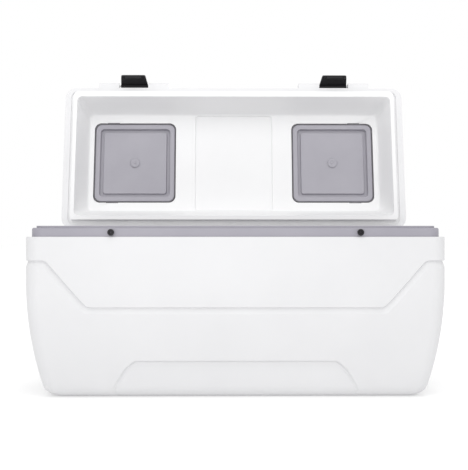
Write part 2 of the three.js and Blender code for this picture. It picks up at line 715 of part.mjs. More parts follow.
for (const [name, side] of sides) {
  const x = side * (halfLength - bail.in);
  piece(cooler, `handle_bail_${name}`, bailLoop(side), palePlastic());
  piece(cooler, `handle_grip_${name}`, cut(
    rod('y', 9.5, 122, x, 0, bail.gripZ, 20), rod('y', 6.3, 130, x, 0, bail.gripZ)), blackPlastic());
  for (const [place, end] of [['front', -1], ['rear', 1]]) {
    const from = bail.halfSpan - 8;
    const to = pocket.halfWidth + skin - gap;
    piece(cooler, `handle_pin_${name}_${place}`,
      rod('y', 4, to - from, x, end * (from + to) / 2, bail.pivotZ, 12), steel());
  }
}

// ---- drain ----
piece(cooler, 'drain_spout', turned([
  [spout.tail, spout.inner], [spout.tail, spout.outer], [drain.seat + 2.6, spout.outer],
  [drain.seat + 2.6, spout.flange], [drain.seat + 5.6, spout.flange], [drain.seat + 5.6, spout.outer],
  [drain.seat + 19, spout.outer], [drain.seat + 19, spout.inner],
], drain.y, drain.z), palePlastic());
piece(cooler, 'drain_washer', turned([
  [drain.seat + gap, spout.outer + gap], [drain.seat + gap, spout.flange],
  [drain.seat + 2.3, spout.flange], [drain.seat + 2.3, spout.outer + gap],
], drain.y, drain.z), rubber());
piece(cooler, 'drain_nut', turned([
  [spout.nut, 12.5], [spout.nut, 17], [spout.nut + 7, 17], [spout.nut + 7, 12.5],
], drain.y, drain.z), palePlastic());
const capStart = drain.seat + 6.2;
const capInner = drain.seat + 21.2;
const capBody = turned([
  [capStart, 12.4], [capStart, 16], [capInner + 3, 16], [capInner + 3, 0], [capInner, 0], [capInner, 12.4],
], drain.y, drain.z);
const capRibs = Array.from({ length: 8 }, (_, i) => {
  const turn = i / 8 * 2 * Math.PI;
  const rib = block(capStart + 1, capInner + 2, -1.5, 1.5, 15, 17.5);
  return rib.rotate([turn / degrees, 0, 0]).translate([0, drain.y, drain.z]);
});
piece(cooler, 'drain_cap', join(capBody, ...capRibs), whitePlastic());
piece(cooler, 'drain_cap_gasket', turned([
  [capInner - 1.9, 8.4], [capInner - 1.9, 12], [capInner - gap, 12], [capInner - gap, 8.4],
], drain.y, drain.z), rubber());

export default cooler;
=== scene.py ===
"""Looks of the open chest cooler: fine meshes, procedural plastics, floor, light and camera.

Shapes are written in millimetres in the frame of the part. Lid pieces are written with the lid
shut and then swung open about the rear hinge, latches hanging straight down and then swung out.
"""
import json
import math

import bmesh
import bpy
from mathutils import Matrix, Vector


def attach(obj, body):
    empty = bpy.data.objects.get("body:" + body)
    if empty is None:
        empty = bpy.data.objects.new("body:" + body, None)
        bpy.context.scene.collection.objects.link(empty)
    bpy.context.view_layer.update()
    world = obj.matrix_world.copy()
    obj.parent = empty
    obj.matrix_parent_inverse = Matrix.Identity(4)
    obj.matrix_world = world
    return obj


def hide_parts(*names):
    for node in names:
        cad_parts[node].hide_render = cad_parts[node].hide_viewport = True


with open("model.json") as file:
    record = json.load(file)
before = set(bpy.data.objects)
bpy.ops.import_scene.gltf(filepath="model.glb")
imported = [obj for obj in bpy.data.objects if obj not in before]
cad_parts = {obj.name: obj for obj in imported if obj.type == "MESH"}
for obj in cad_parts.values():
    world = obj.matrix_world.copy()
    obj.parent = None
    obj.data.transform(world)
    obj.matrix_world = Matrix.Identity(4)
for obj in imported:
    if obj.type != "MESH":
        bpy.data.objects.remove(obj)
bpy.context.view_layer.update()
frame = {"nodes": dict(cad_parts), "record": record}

# ---- dimensions, mm ----
HALF_X, HALF_Y = 541.5, 230
SHELL_TOP, LID_EDGE, LID_TOP = 418, 442.5, 540
CORNER, SKIN, GAP = 34, 4, 0.3
END = 13                      # rim and lid features sit this much further in at the ends
TAPER_Z, TAPER = 300, 44      # the sides curve in by TAPER below TAPER_Z
BASE_RADIUS = 28
LID_ROUNDING = 24             # between the lid's sides and its top

# Styling groove: high at the ends and the back, low across the front, running down between GROOVE_OUT and
# GROOVE_IN. The lower front recess ends at RECESS_EDGE at its foot.
GROOVE_TOP, GROOVE_LOW, GROOVE_WIDTH = 357, 237, 17
GROOVE_OUT, GROOVE_IN = 487, 383
RECESS_TOP, RECESS_DEPTH, RECESS_FOOT, RECESS_EDGE = 97, 8, 8, 352

# Rim band, the sealing rib on it and the cavity inside.
RIM_IN, RIM_IN_END, BAND_FOOT = 5, 15, 404
LEDGE, RIB_TOP, BAY = 441, 446, 421
RIB_IN, RIB_WIDTH = 13.5, 3
CAVITY_X, CAVITY_Y, CAVITY_CORNER, CAVITY_FLOOR, CAVITY_DRAFT = 489.5, 190, 30, 46, 19

# Plug, skirt and ceiling of the lid.
PLUG, PLUG_IN, PLUG_DROP, PLUG_REAR = 18, 38, 19, 24
SKIRT, SEAL_GROOVE = 12, 5
CEILING_IN, CEILING = 68, 71
MIDDLE_HALF, MIDDLE_RISE = 126, 6

# Rear hinges, latches with their ears, and catch posts.
HINGE_Y, HINGE_Z, OPEN = 242, 435, 100
HINGES = {"left": -380, "middle": 0, "right": 380}
BODY_SCREW_Z, LID_SCREW_Z, SCREW_SPREAD = 386, 474, 18
LATCH_X, LATCH_Y, LATCH_Z, LATCH_OUT, LATCH_LENGTH, LATCH_BORE = 322, -242, 462, 17, 50, 3.4
EAR_NEAR, EAR_FAR, EAR_PROUD = 47, 113, 18
POST_X, POST_Z, POST_LENGTH, POST_BORE = 318.5, 429, 11, 2.6

# Hatches through the lid.
HATCH_X, HATCH_HALF, GASKET_HALF = 322, 128.7, 131.2
OPENING_HALF, OPENING_RADIUS, WELL_WALL = 133.2, 22, 3.5
PLATE_HALF, PLATE_RADIUS, PLATE_FLOOR = 142.5, 19, LID_TOP - 6
HATCH_AXIS_IN, HATCH_AXIS_DROP, HATCH_BORE, BARREL_ROOM = 147.5, 4, 2.3, 5.5
HATCH_BOTTOM = LID_EDGE + CEILING

# Handle pockets and drain.
POCKET_HALF, POCKET_LOW, POCKET_HIGH, POCKET_DEPTH = 130, 222, 330, 26
BAIL_PIVOT, BAIL_IN, BAIL_BORE = 314, 13, 4.5
DRAIN_Y, DRAIN_Z, DRAIN_SEAT, DRAIN_BORE = 95, 66, 503, 12.4

OUTSIDE = 600                 # beyond every face of the part

SIDES = {"left": -1, "right": 1}
WORLD = Matrix.Identity(4)
LID = (Matrix.Translation((0, HINGE_Y, HINGE_Z)) @ Matrix.Rotation(-math.radians(OPEN), 4, "X")
       @ Matrix.Translation((0, -HINGE_Y, -HINGE_Z)))


# ---- mesh helpers ----
def make(verts, faces):
    """A linked work object from points in mm."""
    mesh = bpy.data.meshes.new("work")
    mesh.from_pydata([tuple(v) for v in verts], [], faces)
    obj = bpy.data.objects.new("work", mesh)
    bpy.context.scene.collection.objects.link(obj)
    build = bmesh.new()
    build.from_mesh(mesh)
    bmesh.ops.recalc_face_normals(build, faces=build.faces)
    build.to_mesh(mesh)
    build.free()
    return obj


def skin_rings(rings):
    """Closed solid from rings of equally many points."""
    count = len(rings[0])
    faces = [list(range(count))[::-1], [(len(rings) - 1) * count + i for i in range(count)]]
    for k in range(len(rings) - 1):
        for i in range(count):
            j = (i + 1) % count
            faces.append((k * count + i, k * count + j, (k + 1) * count + j, (k + 1) * count + i))
    return make([p for ring in rings for p in ring], faces)


def rounded(half_x, half_y, radius, steps):
    """Outline of a rounded rectangle about the origin."""
    points = []
    for quarter, (sx, sy) in enumerate(((1, 1), (-1, 1), (-1, -1), (1, -1))):
        for i in range(steps + 1):
            turn = (quarter + i / steps) * math.pi / 2
            points.append((sx * (half_x - radius) + radius * math.cos(turn),
                           sy * (half_y - radius) + radius * math.sin(turn)))
    return points


def loft(rings, steps=10, centre=(0, 0)):
    """Rounded rectangles (half_x, half_y, radius, z) stacked into a solid."""
    cx, cy = centre
    return skin_rings([[(x + cx, y + cy, z) for x, y in rounded(hx, hy, r, steps)]
                       for hx, hy, r, z in rings])


def slab(inset_end, inset, z0, z1):
    """Rounded block, given by how far in it sits at the ends and at the front and back."""
    radius = max(6, CORNER - inset)
    hx, hy = HALF_X - inset_end, HALF_Y - inset
    return loft([(hx, hy, radius, z0), (hx, hy, radius, z1)])


def block(x0, x1, y0, y1, z0, z1):
    return skin_rings([[(x0, y0, z), (x1, y0, z), (x1, y1, z), (x0, y1, z)] for z in (z0, z1)])


def layer(z0, z1):
    """Everything between two heights, for trimming."""
    return block(-OUTSIDE, OUTSIDE, -OUTSIDE / 2, OUTSIDE / 2, z0, z1)


def square(x, half, radius, z0, z1):
    return loft([(half, half, radius, z0), (half, half, radius, z1)], centre=(x, 0))


TO_AXIS = {
    "x": lambda p, q, r: (r, p, q),
    "y": lambda p, q, r: (p, r, q),
    "z": lambda p, q, r: (p, q, r),
}


def lathe(axis, centre, profile, sides=40):
    """Turned solid: profile is (distance along the axis, radius) from one end to the other."""
    rings = []
    for along, radius in profile:
        ring = []
        for i in range(sides):
            turn = 2 * math.pi * i / sides
            p, q = radius * math.cos(turn), radius * math.sin(turn)
            offset = TO_AXIS[axis](p, q, along)
            ring.append(tuple(c + o for c, o in zip(centre, offset)))
        rings.append(ring)
    return skin_rings(rings)


def rod(axis, radius, length, centre, edge=0.5, sides=40):
    """Round bar along an axis, its ends rounded off by edge."""
    edge = min(edge, radius * 0.3)
    h = length / 2
    if not edge:
        return lathe(axis, centre, [(-h, radius), (h, radius)], sides)
    start = [(-h, radius - edge), (edge * 0.3 - h, radius - edge * 0.3), (edge - h, radius)]
    stop = [(h - edge, radius), (h - edge * 0.3, radius - edge * 0.3), (h, radius - edge)]
    return lathe(axis, centre, start + stop, sides)


def prism(axis, outline, start, end):
    """Flat outline pushed along an axis."""
    rings = [[TO_AXIS[axis](p, q, r) for p, q in outline] for r in (start, end)]
    return skin_rings(rings)


def arc(cx, cy, radius, first, last, steps=10):
    """Points on an arc, angles in degrees."""
    turns = [math.radians(first + (last - first) * i / steps) for i in range(steps + 1)]
    return [(cx + radius * math.cos(t), cy + radius * math.sin(t)) for t in turns]


def bake(obj):
    """Turns the object's modifiers into its mesh."""
    graph = bpy.context.evaluated_depsgraph_get()
    mesh = bpy.data.meshes.new_from_object(obj.evaluated_get(graph))
    obj.modifiers.clear()
    obj.data = mesh
    return obj


def combine(base, operation, tools):
    for tool in tools:
        step = base.modifiers.new("combine", "BOOLEAN")
        step.operation = operation
        step.solver = "MANIFOLD"
        step.object = tool
    bake(base)
    for tool in tools:
        bpy.data.objects.remove(tool)
    return base


def cut(base, *tools):
    return combine(base, "DIFFERENCE", tools)


def join(base, *tools):
    return combine(base, "UNION", tools)


def soften(obj, width, segments=2, angle=28):
    """Clean flat faces, then round the sharp edges."""
    build = bmesh.new()
    build.from_mesh(obj.data)
    bmesh.ops.remove_doubles(build, verts=build.verts, dist=0.002)
    bmesh.ops.dissolve_limit(build, angle_limit=math.radians(0.6), verts=build.verts, edges=build.edges)
    build.to_mesh(obj.data)
    build.free()
    if width:
        edge = obj.modifiers.new("edge", "BEVEL")
        edge.width = width
        edge.segments = segments
        edge.limit_method = "ANGLE"
        edge.angle_limit = math.radians(angle)
        edge.use_clamp_overlap = True
        bake(obj)
    return obj


def piece(obj, name, body, material, nodes, place=WORLD, sharp=35, finish=None):
    """Scales a work object to metres, places it, shades it and gives it its body.

    finish names the look when it isn't the one that goes with the material slot.
    """
    obj.name = name
    obj.data.name = name
    obj.data.transform(Matrix.Scale(0.001, 4) @ place)
    build = bmesh.new()
    build.from_mesh(obj.data)
    for face in build.faces:
        face.smooth = True
    for edge in build.edges:
        edge.smooth = not (edge.is_manifold and edge.calc_face_angle(0) > math.radians(sharp))
    build.to_mesh(obj.data)
    build.free()
    weigh = obj.modifiers.new("normals", "WEIGHTED_NORMAL")
    weigh.keep_sharp = True
    obj.data.materials.clear()
    obj.data.materials.append(MATERIALS[finish or material])
    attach(obj, body)
    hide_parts(*nodes)


# ---- materials ----
def plastic(name, dark, light, rough, grain, grain_depth, mottle=6.0, metallic=0.0, shine=0.5):
    """Moulded surface: faint mottling in colour and gloss over a fine surface grain."""
    material = bpy.data.materials.new(name)
    material.use_nodes = True
    nodes, links = material.node_tree.nodes, material.node_tree.links
    shader = nodes["Principled BSDF"]
    shader.inputs["Metallic"].default_value = metallic
    shader.inputs["Specular IOR Level"].default_value = shine
    place = nodes.new("ShaderNodeTexCoord")

    cloud = nodes.new("ShaderNodeTexNoise")
    cloud.inputs["Scale"].default_value = mottle
    cloud.inputs["Detail"].default_value = 4
    links.new(place.outputs["Object"], cloud.inputs["Vector"])
    tint = nodes.new("ShaderNodeValToRGB")
    tint.color_ramp.elements[0].position = 0.3
    tint.color_ramp.elements[1].position = 0.7
    tint.color_ramp.elements[0].color = (*dark, 1)
    tint.color_ramp.elements[1].color = (*light, 1)
    links.new(cloud.outputs["Fac"], tint.inputs["Fac"])
    links.new(tint.outputs["Color"], shader.inputs["Base Color"])

    gloss = nodes.new("ShaderNodeMapRange")
    gloss.inputs["To Min"].default_value = rough - 0.05
    gloss.inputs["To Max"].default_value = rough + 0.06
    links.new(cloud.outputs["Fac"], gloss.inputs["Value"])
    links.new(gloss.outputs["Result"], shader.inputs["Roughness"])

    fine = nodes.new("ShaderNodeTexNoise")
    fine.inputs["Scale"].default_value = grain
    fine.inputs["Detail"].default_value = 3
    links.new(place.outputs["Object"], fine.inputs["Vector"])
    bump = nodes.new("ShaderNodeBump")
    bump.inputs["Strength"].default_value = 0.35
    bump.inputs["Distance"].default_value = grain_depth
    links.new(fine.outputs["Fac"], bump.inputs["Height"])
    links.new(bump.outputs["Normal"], shader.inputs["Normal"])
    return material


METAL = {"mottle": 60, "metallic": 1.0}
MATERIALS = {
    # name: dark, light, roughness, grain scale, grain depth
    "white_shell": plastic("white_shell", (0.625, 0.625, 0.635), (0.645, 0.645, 0.655), 0.42, 700, 0.0001),
    # white_lid_painted_light: the shell white made lighter for the lid's outside, painted light
    "white_lid_painted_light": plastic("white_lid_painted_light", (0.715, 0.715, 0.725), (0.735, 0.735, 0.745), 0.42, 700, 0.0001),
    # white_liner_painted_light: the shell white made lighter still for the lid's underside and hollow,
    # painted light
    "white_liner_painted_light": plastic("white_liner_painted_light", (0.815, 0.815, 0.82), (0.835, 0.835, 0.84), 0.42, 700, 0.0001),
    # rim_grey_painted_shade: the liner grey made darker for the rim band, painted shade
    "rim_grey_painted_shade": plastic("rim_grey_painted_shade", (0.28, 0.27, 0.31), (0.315, 0.305, 0.345), 0.45, 800, 0.0002),
    "grey_liner": plastic("grey_liner", (0.34, 0.33, 0.37), (0.38, 0.37, 0.41), 0.45, 800, 0.0002),
    "black_plastic": plastic("black_plastic", (0.010, 0.009, 0.011), (0.017, 0.016, 0.018), 0.4, 1200,
                             0.0002, shine=0.2),
    "pale_plastic": plastic("pale_plastic", (0.70, 0.70, 0.715), (0.76, 0.76, 0.775), 0.45, 900, 0.0002),
    "dark_rubber": plastic("dark_rubber", (0.13, 0.125, 0.14), (0.19, 0.185, 0.2), 0.75, 1500, 0.0002, 30),
    "steel_fastener": plastic("steel_fastener", (0.60, 0.60, 0.62), (0.74, 0.74, 0.75), 0.3, 1800,
                              0.0001, **METAL),
    "black_steel": plastic("black_steel", (0.02, 0.019, 0.022), (0.04, 0.039, 0.043), 0.35, 1800,
                           0.0001, **METAL),
    "insulation_foam": plastic("insulation_foam", (0.78, 0.66, 0.40), (0.86, 0.76, 0.52), 0.9, 500,
                               0.0008, 40),
}


# ---- body shell ----
def side_inset(z, offset):
    """How far the wall at height z stands inside the widest outline."""
    inset = TAPER * ((TAPER_Z - z) / TAPER_Z) ** 2 if z < TAPER_Z else 0
    radius = BASE_RADIUS - offset
    if z < BASE_RADIUS:
        inset += radius - math.sqrt(max(0.0, radius ** 2 - (BASE_RADIUS - z) ** 2))
    return inset + offset


def blended(x, points, soft):
    """Height and slope at x of a line through points, its corners rounded over +-soft."""
    for (x0, z0), (x1, z1) in zip(points, points[1:]):
        if x <= x1:
            value, slope = z0 + (z1 - z0) * (x - x0) / (x1 - x0), (z1 - z0) / (x1 - x0)
            break
    for i in range(1, len(points) - 1):
        (xa, za), (xb, zb), (xc, zc) = points[i - 1:i + 2]
        if abs(x - xb) < soft:
            before, after = (zb - za) / (xb - xa), (zc - zb) / (xc - xb)
            share = (x - xb + soft) / (2 * soft)
            value = zb - before * soft + 2 * soft * (before * share + (after - before) * share ** 2 / 2)
            slope = before + (after - before) * share
    return value, slope


GROOVE_LINE = [(0, GROOVE_LOW), (GROOVE_IN, GROOVE_LOW), (GROOVE_OUT, GROOVE_TOP), (OUTSIDE, GROOVE_TOP)]
RECESS_LINE = [(0, RECESS_TOP), (272, RECESS_TOP), (300, 77), (340, 29), (RECESS_EDGE, 9), (OUTSIDE, 9)]
LEDGE_PROFILE = [(-4.6, 1), (-2.6, 1), (-1.6, 0.9), (-0.6, 0.5), (0.3, 0.12), (1.8, 0)]  # height, share
GROOVE_PROFILE = [(-GROOVE_WIDTH, 0), (-15.4, 0.3), (-9, 2.7), (-4, 4.9), (-2.4, 5.5), (-1.6, 5.4),
                  (-0.9, 4.2), (-0.2, 1.4), (0.2, 0.4), (1, 0)]  # height, depth


def column_rows(front_x, top):
    """(height, depth) up one column of the body; front_x is None away from the front."""
    x = abs(front_x) if front_x is not None else OUTSIDE - 1
    groove, slope = blended(x, GROOVE_LINE, 9)
    stretch = math.sqrt(1 + slope ** 2)
    recess, tilt = blended(x, RECESS_LINE, 7)
    wide = min(1 + 1.8 * (math.sqrt(1 + tilt ** 2) - 1), recess / 6.5)
    deep = RECESS_DEPTH if front_x is not None and x < RECESS_EDGE else 0

    def sunk(z):
        return deep * min(1.0, max(0.0, (z - RECESS_FOOT) / (RECESS_TOP - RECESS_FOOT)))

    foot = recess - 5.4 * wide
    rows = [(z, sunk(z)) for z in (foot * (1 - math.cos(i / 13 * math.pi / 2)) for i in range(14))]
    full = sunk(recess)
    rows += [(recess + dz * wide, full * share) for dz, share in LEDGE_PROFILE]
    start, stop = recess + LEDGE_PROFILE[-1][0] * wide, groove - GROOVE_WIDTH * stretch
    rows += [(start + (stop - start) * (i / 18) ** 1.3, 0) for i in range(1, 18)]
    rows += [(groove + dz * stretch, depth) for dz, depth in GROOVE_PROFILE]
    start, stop = groove + stretch, top - 2
    rows += [(start + (stop - start) * i / 9, 0) for i in range(1, 10)]
    rows += [(top - 1.0, 0.25), (top - 0.3, 0.8), (top, 1.8)]
    return rows


def body_columns():
    """(kind, sign or quarter, share) round the outline, counter-clockwise from the right front."""
    def corner(quarter):
        return [("corner", quarter, i / 12) for i in range(12)]

    columns = [("front", -1, -1 + 2 * i / 232) for i in range(232)] + corner(3)
    columns += [("end", 1, -1 + 2 * i / 40) for i in range(40)] + corner(0)
    columns += [("front", 1, 1 - 2 * i / 80) for i in range(80)] + corner(1)
    columns += [("end", -1, 1 - 2 * i / 40) for i in range(40)] + corner(2)
    return columns


def body_block(offset, top):
    """The body's closed outer form, moved inwards by offset."""
    columns = body_columns()
    grid = []
    for kind, which, share in columns:
        on_front = kind == "front" and which < 0
        rows = column_rows(share * (HALF_X - CORNER) if on_front else None, top)
        line = []
        for z, depth in rows:
            z = max(z, 0) if offset == 0 else offset + max(z, 0) * (top - offset) / top
            inset = side_inset(z, offset)
            hx, hy = HALF_X - inset - CORNER, HALF_Y - inset - CORNER
            radius = CORNER - depth
            if kind == "front":
                point = (share * hx, which * (hy + radius), z)
            elif kind == "end":
                point = (which * (hx + radius), share * hy, z)
            else:
                sx, sy = ((1, 1), (-1, 1), (-1, -1), (1, -1))[which]
                turn = (which + share) * math.pi / 2
                point = (sx * hx + radius * math.cos(turn), sy * hy + radius * math.sin(turn), z)
            line.append(point)
        grid.append(line)
    return skin_rings([[line[k] for line in grid] for k in range(len(grid[0]))])


def pocket(side, offset):
    """Recess for a handle, its mouth flared into a soft lip."""
    floor = HALF_X - POCKET_DEPTH - offset
    middle, half = (POCKET_LOW + POCKET_HIGH) / 2, (POCKET_HIGH - POCKET_LOW) / 2
    profile = [(0, -5), (0.7, -2.6), (2, -1), (4, 0), (22, 0), (24, 0.6), (25.4, 1.8), (26.6, 4), (40, 4)]
    rings = []
    for along, grow in profile:
        outline = rounded(POCKET_HALF + grow + offset, half + grow + offset, 14 + grow + offset, 8)
        rings.append([(side * (floor + along), y, z + middle) for y, z in outline])
    return skin_rings(rings)


def drain_seat(offset):
    floor = DRAIN_SEAT - offset
    radius = 26 + offset
    profile = [(0, radius - 2), (0.6, radius - 0.6), (2, radius), (9, radius), (11, radius + 1),
               (12.4, radius + 3), (40, radius + 6)]
    return lathe("x", (floor, DRAIN_Y, DRAIN_Z), profile, 48)


def screw_holes(z):
    return [rod("y", 2.5, 20, (x + end * SCREW_SPREAD, HALF_Y, z), 0, 16)
            for x in HINGES.values() for end in (-1, 1)]


def body_form(offset, top):
    return cut(body_block(offset, top), pocket(1, offset), pocket(-1, offset), drain_seat(offset))


body_shell = cut(
    body_form(0, SHELL_TOP), body_form(SKIN, SHELL_TOP - SKIN),
    slab(RIM_IN_END - GAP, RIM_IN - GAP, SHELL_TOP - SKIN - 1, SHELL_TOP + 1),
    *[rod("y", BAIL_BORE, 30, (s * (HALF_X - BAIL_IN), e * POCKET_HALF, BAIL_PIVOT), 0, 24)
      for s in (-1, 1) for e in (-1, 1)],
    rod("x", DRAIN_BORE, 40, (DRAIN_SEAT, DRAIN_Y, DRAIN_Z), 0, 40), *screw_holes(BODY_SCREW_Z))
piece(body_shell, "cooler_body_shell", "body", "white_shell", ["body_shell"], sharp=50)


# ---- rim and cavity liner ----
def cavity(grow, top):
    """Room inside the liner, with draft and a filleted floor, grown by grow."""
    floor, fillet = CAVITY_FLOOR - grow, 8 + grow
    turns = [math.radians(a) for a in (0, 22, 45, 68, 90)]
    heights = [(floor + fillet * (1 - math.cos(t)), fillet * (1 - math.sin(t))) for t in turns] + [(top, 0)]
    rings = []
    for z, extra in heights:
        draft = CAVITY_DRAFT * (BAY - z) / (BAY - CAVITY_FLOOR)
        rings.append((CAVITY_X - draft + grow - extra, CAVITY_Y - draft + grow - extra,
                      CAVITY_CORNER + grow - extra, z))
    return loft(rings)


def body_liner():
    hollow_top = BAY - SKIN
    edge = ((0, BAND_FOOT), (0, LEDGE - 4.5), (0.5, LEDGE - 2.4), (1.6, LEDGE - 0.9), (3.4, LEDGE - 0.1),
            (5, LEDGE))
    outer = loft([(HALF_X - RIM_IN_END - i, HALF_Y - RIM_IN - i, CORNER - RIM_IN - i, z) for i, z in edge])
    band = cut(outer, slab(RIM_IN_END + SKIN, RIM_IN + SKIN, BAND_FOOT - 1, hollow_top))
    rib = slab(RIB_IN + END, RIB_IN, LEDGE - 1, RIB_TOP)
    bay = slab(RIB_IN + RIB_WIDTH + END, RIB_IN + RIB_WIDTH, BAY, RIB_TOP + 1)
    holes = [rod("y", POST_BORE, 18, (s * POST_X, RIM_IN - HALF_Y, POST_Z), 0, 20) for s in (-1, 1)]
    holes.append(rod("x", DRAIN_BORE, 30, (472, DRAIN_Y, DRAIN_Z), 0, 40))
    liner = join(band, rib, cavity(SKIN, BAY - 1))
    return soften(cut(liner, bay, cavity(0, BAY + 1), *holes), 1.1)


# the rim band takes a darkened copy of the liner grey, painted shade
piece(body_liner(), "cooler_rim_liner", "body", "grey_liner", ["body_liner"], finish="rim_grey_painted_shade")


# ---- lid ----
def lid_form(offset, bottom):
    """Outside of the lid, moved inwards by offset."""
    rings = [(1.5 if offset == 0 else offset, bottom), (offset, LID_EDGE + 6)]
    for a in range(0, 91, 10):
        t, reach = math.radians(a), LID_ROUNDING - offset
        rings.append((3 + LID_ROUNDING - reach * math.cos(t), LID_TOP - LID_ROUNDING + reach * math.sin(t)))
    return loft([(HALF_X - inset, HALF_Y - inset, CORNER, z) for inset, z in rings])


def hatch_well(side, grow, z0=400, z1=OUTSIDE):
    """The square way through the lid for a hatch, grown by grow."""
    return square(side * HATCH_X, OPENING_HALF + grow, OPENING_RADIUS + grow, z0, z1)


def hatch_seat(side, grow):
    """Seat for a hatch plate with the channel for its hinge barrel, grown by grow."""
    seat = square(side * HATCH_X, PLATE_HALF + 0.8 + grow, PLATE_RADIUS + 1, PLATE_FLOOR - grow, LID_TOP + 2)
    axis_x = side * (HATCH_X - HATCH_AXIS_IN)
    half = PLATE_HALF - 4 + grow
    channel = block(axis_x - BARREL_ROOM - grow, axis_x + BARREL_ROOM + grow, -half, half,
                    LID_TOP - HATCH_AXIS_DROP - BARREL_ROOM - grow, LID_TOP + 2)
    near, far = sorted((axis_x, axis_x + side * (BARREL_ROOM + 4 + grow)))
    return join(seat, channel, block(near, far, -half, half, PLATE_FLOOR - grow, LID_TOP + 2.5))


def latch_ears(side):
    """The two ears that carry a latch pin between them."""
    front = -HALF_Y - EAR_PROUD
    outline = [(3 - HALF_Y, LID_EDGE + 1)]
    outline += arc(front + 8, LID_EDGE + 9, 8, 270, 180, 8)
    outline += arc(front + 10, LID_EDGE + 30, 10, 180, 108, 8)
    outline += [(3 - HALF_Y, LID_EDGE + 52)]
    ears = []
    for end in (-1, 1):
        near, far = sorted((side * LATCH_X + end * EAR_NEAR, side * LATCH_X + end * EAR_FAR))
        ears.append(prism("x", outline, near, far))
    return ears


def lid_shell():
    shell = cut(lid_form(0, LID_EDGE), lid_form(SKIN, LID_EDGE + SKIN),
                slab(SKIRT + 8, SKIRT, LID_EDGE - 1, LID_EDGE + SKIN + 1))
    wall = cut(slab(SKIRT + 5, SKIRT - 3, LID_EDGE + 1, LID_EDGE + SEAL_GROOVE),
               slab(SKIRT + 8, SKIRT, LID_EDGE, LID_EDGE + SEAL_GROOVE + 1))
    shell = join(shell, wall)
    for side in (-1, 1):
        tray = cut(hatch_seat(side, SKIN), layer(LID_TOP, OUTSIDE))
        shell = join(shell, tray, *latch_ears(side))
        axis_x = side * (HATCH_X - HATCH_AXIS_IN)
        shell = cut(shell, hatch_seat(side, 0), hatch_well(side, 0),
                    rod("y", HATCH_BORE, 284, (axis_x, 0, LID_TOP - HATCH_AXIS_DROP), 0, 20),
                    rod("x", LATCH_BORE, 116, (side * LATCH_X, LATCH_Y, LATCH_Z), 0, 20))
    return soften(cut(shell, *screw_holes(LID_SCREW_Z)), 1.2)


def lid_hollow(grow, bottom):
    """The lid's ceiling: sloping walls up to two side pads and a higher middle, grown by grow."""
    roof = LID_EDGE + CEILING + grow
    crest = LID_EDGE - PLUG_DROP

    def ring(z, inset, inset_end, radius):
        return (HALF_X - inset_end + grow, HALF_Y - inset + grow, radius + grow, z)

    pads = loft([
        ring(bottom, PLUG_IN - 3, PLUG_IN + 3, 16), ring(crest + 5, PLUG_IN, PLUG_IN + 6, 16),
        ring(roof - 8, CEILING_IN - 3, CEILING_IN, 16),
        ring(roof - 4.5, CEILING_IN - 1.2, CEILING_IN + 1.8, 15),
        ring(roof - 2, CEILING_IN + 0.6, CEILING_IN + 3.6, 14),
        ring(roof - 0.5, CEILING_IN + 3, CEILING_IN + 6, 12), ring(roof, CEILING_IN + 5, CEILING_IN + 8, 11)])
    half = MIDDLE_HALF + grow
    deep = HALF_Y - CEILING_IN - 3 + grow
    middle = loft([(half, deep, 8, roof - 4), (half, deep, 8, roof),
                   (half - 2, deep - 2, 7, roof + MIDDLE_RISE - 1),
                   (half - 4, deep - 4, 6, roof + MIDDLE_RISE)])
    return join(pads, middle)


def plug(offset, z0, z1):
    """The plug under the lid, further in at the back, moved inwards by offset."""
    behind = block(-OUTSIDE, OUTSIDE, HALF_Y - PLUG_REAR - offset, OUTSIDE / 2, z0 - 1, z1 + 1)
    return cut(slab(PLUG + END + offset, PLUG + offset, z0, z1), behind)


def lid_liner():
    crest, groove_roof = LID_EDGE - PLUG_DROP, LID_EDGE + SEAL_GROOVE
    web = slab(SKIRT + 6, SKIRT - 2, groove_roof + GAP, groove_roof + GAP + SKIN)
    outer = join(plug(0, crest, groove_roof + 2), web)
    outer = cut(outer, plug(SKIN, crest + SKIN, groove_roof + GAP + SKIN + 1))
    outer = join(outer, cut(lid_hollow(SKIN, crest), layer(OUTSIDE / 2, crest)))
    top = PLATE_FLOOR - SKIN - GAP
    outer = join(outer, *[hatch_well(s, WELL_WALL, HATCH_BOTTOM, top) for s in (-1, 1)])
    liner = cut(outer, lid_hollow(0, crest - 2))
    liner = cut(liner, *[hatch_well(s, 0) for s in (-1, 1)],
                *[tab(s, end, 0.6) for s in (-1, 1) for end in (-1, 1)])
    return soften(liner, 1.4)


def tab(side, end, grow):
    """Snap tab of a hatch, or its notch when grown."""
    x, z = side * (HATCH_X + GASKET_HALF - 60), HATCH_BOTTOM
    near, far = sorted((end * (GASKET_HALF - 1), end * (GASKET_HALF + 3 + grow)))
    return block(x - 19 - grow, x + 19 + grow, near, far, z - (1 if grow else 0), z + 5 + grow)


# the lid's outside takes a lightened copy of the shell white, painted light
piece(lid_shell(), "lid_outer_shell", "lid", "white_shell", ["lid_shell"], LID, finish="white_lid_painted_light")
# the lid's underside takes a lightened copy of the shell white, painted light in its hollow
piece(lid_liner(), "lid_inner_liner", "lid", "white_shell", ["lid_liner"], LID, finish="white_liner_painted_light")


